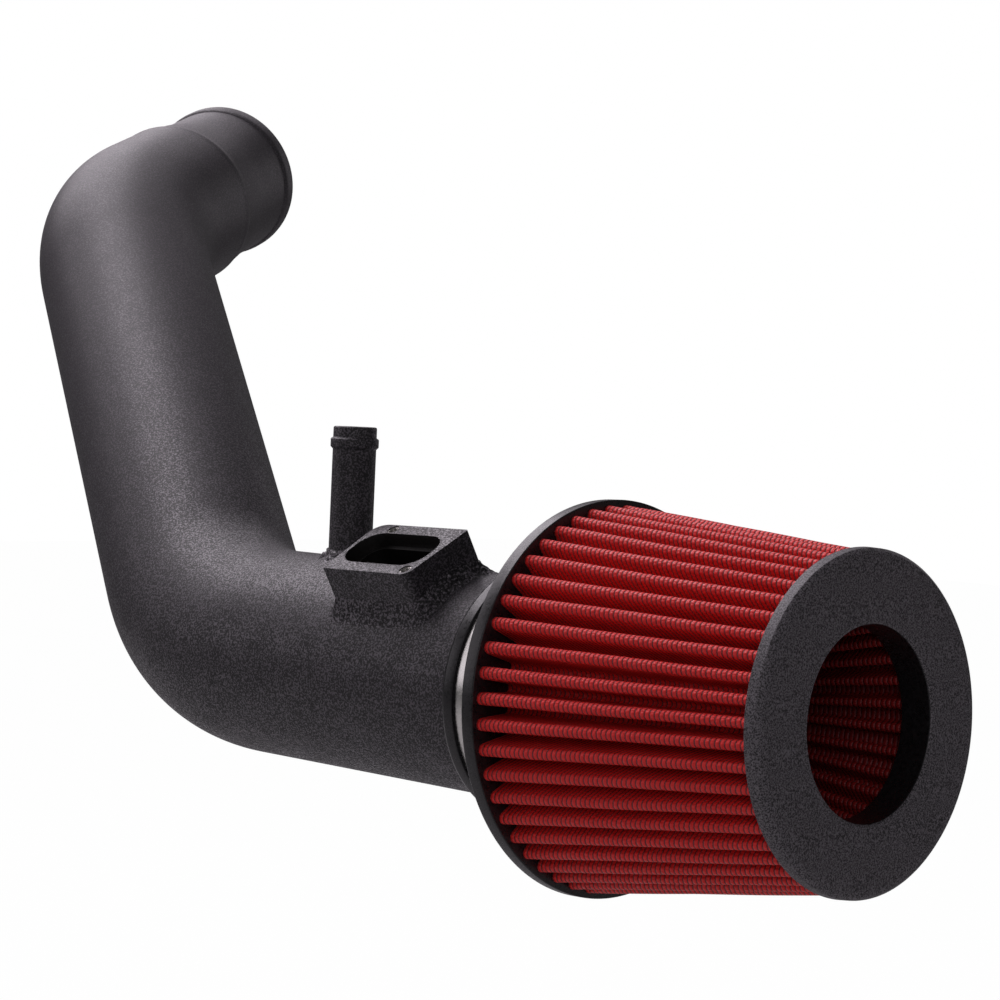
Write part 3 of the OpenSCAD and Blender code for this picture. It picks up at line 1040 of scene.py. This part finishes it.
@dataclass
class WeldBeads:
    """The beads round the sensor block and round the nipple."""

    finish: bpy.types.Material
    grain: float = 2.2
    lump: float = 1.0
    coarse: float = 2.2
    fine: float = 0.3
    fine_grain: float = 0.35
    sunk: float = 0.45
    spread: float = 0.6
    step: float = 0.55
    pad_size: tuple = (5.6, 6.6)
    nipple_size: tuple = (4.4, 4.4)

    def rise(self, at: Vector) -> float:
        """Rise of the lumps of a bead.

        Args:
            at: A point of the bead.

        Returns:
            The rise in millimetres.
        """
        big = abs(noise.noise(at / self.grain))
        small = noise.noise(at / (self.fine_grain * self.grain))
        return self.lump * (self.coarse * big - self.sunk + self.fine * small)

    def sweep(self, name: str, path: Sequence[Point], outs: Sequence[Point], place: Matrix,
              width: float, height: float, ground: Callable[[float, float], float],
              stands_for: str) -> None:
        """Builds one closed bead.

        Args:
            name: The piece's name.
            path: Closed path of (x, y) points on the wall's foot.
            outs: Directions outwards at these points.
            place: The local frame.
            width: Width of the bead on the tube.
            height: Height of the bead on the wall.
            ground: Height of the tube's surface at (x, y).
            stands_for: The CAD node that it replaces.
        """
        shape = Shape()
        first = ring = None
        section = bead_section(width, height)
        for p, out in zip(path, outs):
            points = []
            for i, (u, v) in enumerate(section):
                x, y = p[0] + out[0] * u, p[1] + out[1] * u
                held = math.sin(math.pi * min(1.0, max(0.0, (i - 1) / (len(section) - 3)))) ** 0.5
                lift = held * self.rise(Vector((x, y, v)))
                x, y = x + out[0] * lift * self.spread, y + out[1] * lift * self.spread
                points.append((x, y, ground(x, y) + v + lift * self.spread))
            ring = shape.ring(points, place) if ring is None else shape.pull(ring, points, place)
            first = first or ring
        shape.bridge(ring, first)
        made = shape.mesh(name)
        dress(made, self.finish, Slot.POWDER, stands_for)

    @staticmethod
    def finer(points: Sequence[Point], step: float) -> list:
        """Adds points to a closed outline.

        Args:
            points: The outline.
            step: Distance between the new points.

        Returns:
            The finer outline.
        """
        out = []
        for i, p in enumerate(points):
            a, b = Vector(p), Vector(points[(i + 1) % len(points)])
            parts = max(1, round((b - a).length / step))
            out += [tuple(a + (b - a) * k / parts) for k in range(parts)]
        return out

    @staticmethod
    def outwards(path: Sequence[Point]) -> list:
        """Directions outwards of a closed path that runs anticlockwise.

        Args:
            path: The path's points.

        Returns:
            A unit direction for each point.
        """
        out = []
        count = len(path)
        for i in range(count):
            along = Vector(path[(i + 3) % count]) - Vector(path[i - 3])
            out.append(tuple(Vector((along.y, -along.x)).normalized()))
        return out

    def build(self) -> None:
        """Builds both beads."""
        pad = SensorPad()
        sine, cosine = math.sin(math.radians(pad.yaw)), math.cos(math.radians(pad.yaw))

        def under_pad(x: float, y: float) -> float:
            """Tube surface in the pad's frame."""
            return math.sqrt(max(0.0, TUBE_RADIUS ** 2 - (x * sine + y * cosine) ** 2))

        def under_nipple(x: float, y: float) -> float:
            """Tube surface in the nipple's frame."""
            return math.sqrt(max(0.0, TUBE_RADIUS ** 2 - y ** 2))

        path = self.finer(pad.outline(), self.step)
        self.sweep("sensor_pad_bead", path, self.outwards(path), pad.place(), *self.pad_size, under_pad,
                   "sensor_flange_weld")
        nipple = Nipple()
        path = [(x, y) for x, y, _ in circle(nipple.radius, 0, 120)]
        outs = [tuple(Vector(p).normalized()) for p in path]
        self.sweep("nipple_bead", path, outs, nipple.place(), *self.nipple_size, under_nipple,
                   "nipple_weld")


@dataclass
class Nipple:
    """The upright hose nipple."""

    finish: Optional[bpy.types.Material] = None
    x: float = 157.8
    radius: float = 9.25
    wall: float = 2.0
    top: float = 100.0
    foot: float = 42.0
    bead: float = 4.5
    stub: float = 4.6
    rise: float = 1.0
    cut: tuple = (30.0, 50.0)

    def place(self) -> Matrix:
        """The nipple's frame, +Z along its axis."""
        return ROUTE.placed() @ shift(-self.x, 0, 0)

    def build(self) -> None:
        """Turns the nipple's outline."""
        bore = self.radius - self.wall
        low = self.top - self.stub - self.bead
        high = low + self.bead
        proud = self.radius + self.rise
        outline = [
            (bore, self.foot, 0), (self.radius, self.foot, 0), (self.radius, low - 0.5, 0.4),
            (proud, low + 0.5, 0.5), (proud, high - 0.7, 0.5), (self.radius, high, 0.3),
            (self.radius, self.top, 0.9), (bore, self.top, 0.7),
        ]
        shape = Shape()
        shape.revolve(rounded(outline, 0.5, 4), self.place(), 96)
        dress(shape.mesh("hose_nipple"), self.finish, Slot.POWDER, "breather_nipple")

    @staticmethod
    def cutter() -> bpy.types.Object:
        """The solid that opens the tube under the nipple."""
        nipple = Nipple()
        low, high = (circle(nipple.radius - nipple.wall, z, 48) for z in nipple.cut)
        return plug("nipple_cutter", low, high, nipple.place())


@dataclass
class Inserts:
    """The two threaded inserts, sunk a little in their pockets."""

    finish: bpy.types.Material
    drop: float = 0.4
    radius: float = 2.6
    bore: float = 1.65
    depth: float = 8.0
    thread: float = 0.5
    turns: int = 6
    mouth: float = 0.45
    land: float = 0.4
    ridge: float = 0.25

    def build(self) -> None:
        """Turns both rings with the ridges of their threads."""
        shape = Shape()
        pad = SensorPad()
        top = pad.height - self.drop
        outline = [(self.bore, pad.height - self.depth), (self.radius, pad.height - self.depth),
                   (self.radius, top), (self.bore + self.mouth, top), (self.bore, top - self.land)]
        for i in range(self.turns):
            z = top - self.land - i * self.thread
            outline += [(self.bore + self.ridge, z - self.thread / 2), (self.bore, z - self.thread)]
        for cx, cy in pad.insert_spots():
            shape.revolve(outline, pad.place() @ shift(cx, cy, 0), 32)
        dress(shape.mesh("thread_insert_rings"), self.finish, Slot.INSERT, "thread_inserts")


@dataclass
class FilterBase:
    """The moulded rubber base: a neck on the tube and the tilted flange."""

    finish: bpy.types.Material
    tube: float = TUBE_RADIUS
    neck: float = 49.5
    length: float = 43.0
    radius: float = 76.5
    thick: float = 5.8
    stop: float = 41.45

    def build(self) -> None:
        """Turns the neck and the flange."""
        shape = Shape()
        neck = [
            (self.tube + 0.02, -self.length, 0.5), (self.neck + 1.7, -self.length, 0.8),
            (self.neck + 2.1, -self.length + 1.4, 0.6), (self.neck + 1.9, -self.length + 5.7, 0.6),
            (self.neck, -self.length + 6.1, 0.2), (self.neck, -11, 0), (self.tube + 0.02, -11, 0),
        ]
        shape.revolve(rounded(neck, 0.5), ROUTE.on_tube())
        flange = [
            (self.stop, -15, 0), (self.neck - 0.8, -15.5, 0), (self.neck + 1.2, -13, 0.8),
            (self.neck + 1.2, -self.thick - 2.2, 1.2), (self.neck + 3.4, -self.thick, 1.0),
            (self.radius, -self.thick, 0.7), (self.radius, 0, 0.5), (self.stop, 0, 0.5),
        ]
        shape.revolve(rounded(flange, 0.5, 4), ROUTE.on_filter(), 256)
        dress(shape.mesh("filter_base_moulding"), self.finish, Slot.BASE, "filter_base")


@dataclass
class EndCap:
    """The moulded end ring with its hole and collar."""

    finish: bpy.types.Material
    inside: bpy.types.Material
    back: float = 116.6
    thick: float = 4.8
    radius: float = 62.2
    hole: float = 35.0
    collar: float = 43.0
    collar_length: float = 7.4

    def build(self) -> None:
        """Turns the cap's outline."""
        front = self.back + self.thick
        deep = self.back - self.collar_length
        outline = [
            (self.hole, deep, 0.4), (self.collar, deep, 0.4), (self.collar, self.back, 0),
            (self.radius, self.back, 0.5), (self.radius - 0.3, front - 0.4, 0.7),
            (self.radius - 1.6, front + 0.8, 1.2), (self.radius - 4, front + 1.2, 1.0),
            (self.hole, front + 1.2, 1.4),
        ]
        shape = Shape()
        shape.revolve(rounded(outline, 0.5, 5), ROUTE.on_filter(), 256)
        level = ROUTE.on_filter().inverted()
        for face in shape.bm.faces:
            spot = level @ face.calc_center_median()
            if math.hypot(spot.x, spot.y) < self.hole + 0.3:
                face.material_index = 1
        dress(shape.mesh("end_cap_ring"), self.finish, Slot.CAP, "end_cap", inside=self.inside)


@dataclass
class Pleats:
    """A folded sheet between two ends, each fold a fat ridge with a narrow valley."""

    finish: bpy.types.Material
    name: str
    node: str
    side: Side
    folds: int
    crest: tuple
    root: tuple
    ridge: tuple
    heights: tuple
    phase: float = 0.0
    sheet: float = 1.1
    rows: int = 26
    wobble: float = 0.22
    sway_turn: float = 5.1
    lift_turn: float = 7.3
    seed: int = 3

    def half_fold(self, crest: float, root: float, ridge: float) -> list:
        """Half of one fold, from the middle of its ridge to the middle of the valley.

        Args:
            crest: Distance of the ridge's top from the axis.
            root: Distance of the valley's floor from the axis.
            ridge: Half the width of the ridge.

        Returns:
            (sideways, distance from the axis) points.
        """
        s = self.side.value
        pitch = math.pi * root / self.folds if s > 0 else math.pi * crest / self.folds
        valley = max(0.25, pitch - ridge)
        top = [(ridge * math.sin(math.radians(a)), crest - s * ridge * (1 - math.cos(math.radians(a))))
               for a in range(0, 91, 15)]
        floor = [(pitch - valley * math.sin(math.radians(a)),
                  root + s * valley * (1 - math.cos(math.radians(a)))) for a in (90, 67, 45, 22, 0)]
        span = [(ridge, top[-1][1] + (floor[0][1] - top[-1][1]) * k / 4) for k in (1, 2, 3)]
        return top + span + floor

    def fold(self, share: float, inset: float) -> list:
        """One whole fold at a place between the two ends.

        Args:
            share: 0 at the first end and 1 at the second.
            inset: How far the sheet's inner face lies behind its outer one.

        Returns:
            (angle as a share of the pitch, distance from the axis, length along the fold).
        """
        s = self.side.value
        crest = self.crest[0] + (self.crest[1] - self.crest[0]) * share - s * inset
        root = self.root[0] + (self.root[1] - self.root[0]) * share - s * inset
        ridge = self.ridge[0] + (self.ridge[1] - self.ridge[0]) * share - inset * 0.8
        half = self.half_fold(crest, root, max(0.3, ridge))
        last = half[-1]
        out, run, before = [], 0.0, half[0]
        for point in half:
            run += math.hypot(point[0] - before[0], point[1] - before[1])
            before = point
            angle = math.degrees(math.atan2(point[0], point[1])) * self.folds / 360
            out.append((angle, point[1] / math.cos(math.atan2(point[0], point[1])), run))
        out[-1] = (0.5, last[1], run)
        mirrored = [(-a, r, -u) for a, r, u in reversed(out[1:-1])]
        return mirrored + out

    def ring_points(self, share: float, inset: float, waves: list) -> list:
        """Points of one ring round the whole sheet.

        Args:
            share: Place between the two ends.
            inset: Depth of the layer.
            waves: A phase for each fold.

        Returns:
            Local points.
        """
        z = self.heights[0] + (self.heights[1] - self.heights[0]) * share
        hold = math.sin(math.pi * share) ** 0.5 if 0 < share < 1 else 0.0
        out = []
        profile = self.fold(share, inset)
        for i in range(self.folds):
            sway = hold * self.wobble * math.sin(waves[i] + share * self.sway_turn)
            lift = hold * self.wobble * 0.7 * math.sin(waves[i] * 1.7 + share * self.lift_turn)
            for a, r, u in profile:
                near = math.cos(math.pi * a) ** 2
                theta = math.radians(360 * (i + a) / self.folds + self.phase) + near * sway / r
                reach = r + near * lift
                out.append((reach * math.cos(theta), reach * math.sin(theta), z))
        return out

    def build(self) -> None:
        """Builds the outer face row by row, then the inner one, and closes the ends."""
        draw = random.Random(self.seed)
        waves = [draw.uniform(0, math.tau) for _ in range(self.folds)]
        place = ROUTE.on_filter()
        shape = Shape()
        first = shape.ring(self.ring_points(0, 0, waves), place)
        ring, rings = first, [first]
        for k in range(1, self.rows + 1):
            ring = shape.pull(ring, self.ring_points(k / self.rows, 0, waves), place)
            rings.append(ring)
        inner = shape.pull(ring, self.ring_points(1, self.sheet, waves), place)
        inner = shape.pull(inner, self.ring_points(0, self.sheet, waves), place)
        shape.bridge(inner, first)
        self.lay_uv(shape.bm, rings)
        dress(shape.mesh(self.name), self.finish, Slot.MEDIA, self.node)

    def lay_uv(self, bm: bmesh.types.BMesh, rings: list) -> None:
        """Gives the outer face a UV map in millimetres from the middle of each ridge.

        Args:
            bm: The sheet.
            rings: The outer face's rings, from the first end to the second.
        """
        size = len(self.fold(0.0, 0.0))
        uv = bm.loops.layers.uv.new("fold")
        where = {}
        for k, one in enumerate(rings):
            lengths = [u for a, r, u in self.fold(k / self.rows, 0.0)]
            along = (self.heights[1] - self.heights[0]) * k / self.rows
            for i, v in enumerate(one):
                where[v] = (i % size, lengths, along)
        for face in bm.faces:
            known = [where.get(v) for v in face.verts]
            if None in known:
                continue
            spots = [k[0] for k in known]
            wraps = max(spots) - min(spots) > size / 2
            for loop, (spot, lengths, along) in zip(face.loops, known):
                u = lengths[spot]
                if wraps and spot > size / 2:
                    u = -lengths[-1]
                loop[uv].uv = (u, along)


@dataclass
class Clamp:
    """The worm-drive clamp on the neck."""

    finish: bpy.types.Material
    radius: float = 49.5
    thick: float = 0.8
    width: float = 12.7
    covered: float = 1.2
    x: float = 31.7

    def build(self) -> None:
        """Turns the band up to the neck's lip; the housing and the screw keep their CAD form."""
        shape = Shape()
        low, high = -self.x - self.width / 2 + self.covered, -self.x + self.width / 2
        r = self.radius + 0.05
        outline = [(r, low), (r + self.thick, low, 0.3), (r + self.thick, high, 0.3), (r, high)]
        shape.revolve(rounded(outline, 0.0, 3), ROUTE.on_tube())
        dress(shape.mesh("clamp_band_strip"), self.finish, Slot.STEEL, "clamp_band")
        for name in ("clamp_housing", "clamp_screw"):
            dress_node(name, self.finish)


@dataclass
class Studio:
    """Floor, lamps, world and camera."""

    look_az: float = 44.441
    look_el: float = 2.041
    roll: float = 2.518
    eye: tuple = (1223.18, -964.17, -125.16)
    focal: float = 2642.8
    frame_px: float = 1000.0
    sensor: float = 36.0
    floor_drop: float = 0.30
    floor_size: float = 6.0
    clip: tuple = (0.05, 60.0)
    ambient: float = 0.015
    mirrored: float = MIRRORED
    tint: tuple = (1.0, 0.925, 1.0)
    reach: float = 2.0
    box: float = 1.0
    softboxes: tuple = (
        ("left_high", 65, 270, 13.1), ("left_back_high", 65, 225, 7.6), ("back_high", 65, 180, 2.2),
        ("back_left", 40, 210, 8.0), ("back_left_wide", 40, 240, 4.2), ("back", 40, 180, 2.5),
        ("left_low", 15, 270, 2.8), ("right_back_low", 15, 135, 2.2), ("front_low", 15, 0, 3.8),
        ("right_front_low", 4, 50, 1.5),
    )

    def camera(self) -> None:
        """Sets the camera at the photograph's view."""
        right, up, back = self.axes()
        data = bpy.data.cameras.new("camera")
        data.lens = self.focal / self.frame_px * self.sensor
        data.sensor_width = self.sensor
        data.clip_start, data.clip_end = self.clip
        made = bpy.data.objects.new("camera", data)
        turned = Matrix((right, up, back)).transposed().to_4x4()
        made.matrix_world = Matrix.Translation(Vector(self.eye) * MM) @ turned
        bpy.context.scene.collection.objects.link(made)
        bpy.context.scene.camera = made

    def axes(self) -> tuple:
        """The camera's directions.

        Returns:
            Its right, up and backward directions.
        """
        az, el, roll = (math.radians(v) for v in (self.look_az, self.look_el, self.roll))
        ahead = Vector((-math.cos(az) * math.cos(el), math.sin(az) * math.cos(el), -math.sin(el)))
        flat = Vector((math.sin(az), math.cos(az), 0))
        up0 = flat.cross(ahead)
        right = math.cos(roll) * flat + math.sin(roll) * up0
        up = math.cos(roll) * up0 - math.sin(roll) * flat
        return right, up, -ahead

    def lamp(self, name: str, el: float, az: float, power: float, centre: Vector) -> None:
        """Adds one soft box that faces the object.

        Args:
            name: Its name.
            el: Its height over the camera's level, in degrees.
            az: Its turn from the camera's side to the right, in degrees.
            power: Its power in watts.
            centre: The point that it faces, in metres.
        """
        right, up, back = self.axes()
        level = math.cos(math.radians(el))
        toward = (level * math.sin(math.radians(az)) * right + math.sin(math.radians(el)) * up
                  + level * math.cos(math.radians(az)) * back)
        data = bpy.data.lights.new(name, "AREA")
        data.shape = "SQUARE"
        data.size = self.box
        data.energy = power
        data.color = self.tint
        made = bpy.data.objects.new(name, data)
        made.location = centre + toward * self.reach
        made.rotation_euler = toward.to_track_quat("Z", "Y").to_euler()
        bpy.context.scene.collection.objects.link(made)

    def world(self) -> None:
        """White to the camera, faint in reflections and fainter still as a light."""
        g = Graph("studio", world=True)
        light, white = (g.node("ShaderNodeBackground", sockets={"Color": (1, 1, 1, 1), "Strength": power})
                        for power in (self.ambient, 1.0))
        g.blend(g.seen(self.mirrored), light, white)
        bpy.context.scene.world = g.owner

    def build(self) -> None:
        """Builds the studio."""
        low, high = CAD_BOX
        centre = tuple((a + b) / 2 for a, b in zip(low, high))
        bm = bmesh.new()
        bmesh.ops.create_grid(bm, x_segments=1, y_segments=1, size=self.floor_size)
        bmesh.ops.translate(bm, verts=bm.verts, vec=(centre[0], centre[1], low[2] - self.floor_drop))
        mesh = bpy.data.meshes.new("floor")
        bm.to_mesh(mesh)
        bm.free()
        floor = bpy.data.objects.new("floor", mesh)
        bpy.context.scene.collection.objects.link(floor)
        mesh.materials.append(Backdrop().material())
        for name, el, az, power in self.softboxes:
            self.lamp(name, el, az, power, Vector(centre))
        self.camera()
        self.world()
        bpy.context.scene.view_settings.view_transform = "Standard"


def main() -> None:
    """Builds every sub-assembly in order."""
    logging.basicConfig(level=logging.INFO, format="%(name)s %(message)s")
    powder = Powder().material()
    steel = Steel("clamp_steel").material()
    base = Moulded("base_rubber", dark=(0.006, 0.006, 0.007), light=(0.02, 0.019, 0.02), grain=1.6,
                    depth=0.05, roughness=0.3).material()
    cap = Moulded("cap_rubber", dark=(0.012, 0.011, 0.012), light=(0.2, 0.188, 0.203), grain=0.6,
                  depth=0.16, roughness=0.5, contrast=0.09, cloud=0.03).material()
    outer = Media("filter_media").material()
    inner = Media("inner_media", bead=1.9, cell=1.4, shade=0.28, glints=0.1).material()
    # painted shade: near-black material for the tube's bore and the pad's opening and pockets, where shade
    # falls
    inside_shade = Moulded("painted_shade_inside", dark=(0.004, 0.0035, 0.003), light=(0.01, 0.009, 0.008),
                   roughness=0.4).material()
    IntakeTube(powder, inside_shade).build()
    SensorPad(powder, inside_shade).build()
    weld = Powder("weld_coat", light=(0.2, 0.183, 0.205), grain=1.0, depth=0.25, calm=1.25).material()
    WeldBeads(weld).build()
    Nipple(powder).build()
    Inserts(Steel("insert_steel", colour=(0.55, 0.53, 0.5), roughness=0.26).material()).build()
    FilterBase(base).build()
    Clamp(steel).build()
    EndCap(cap, base).build()
    Pleats(outer, "outer_fold_sheet", "outer_pleats", Side.OUT, 48, crest=(74.5, 60.7),
           root=(58.6, 47.8), ridge=(2.35, 1.95), heights=(0.0, 116.6), phase=-2.8).build()
    Pleats(inner, "inner_fold_sheet", "inner_pleats", Side.IN, 26, crest=(19.3, 35.2),
           root=(26.2, 44.2), ridge=(1.0, 1.9), heights=(32.65, 109.2), seed=8, rows=14,
           wobble=0.15).build()
    dress_node("inner_cone_plate", base)
    Studio().build()


if __name__ == "__main__":
    main()
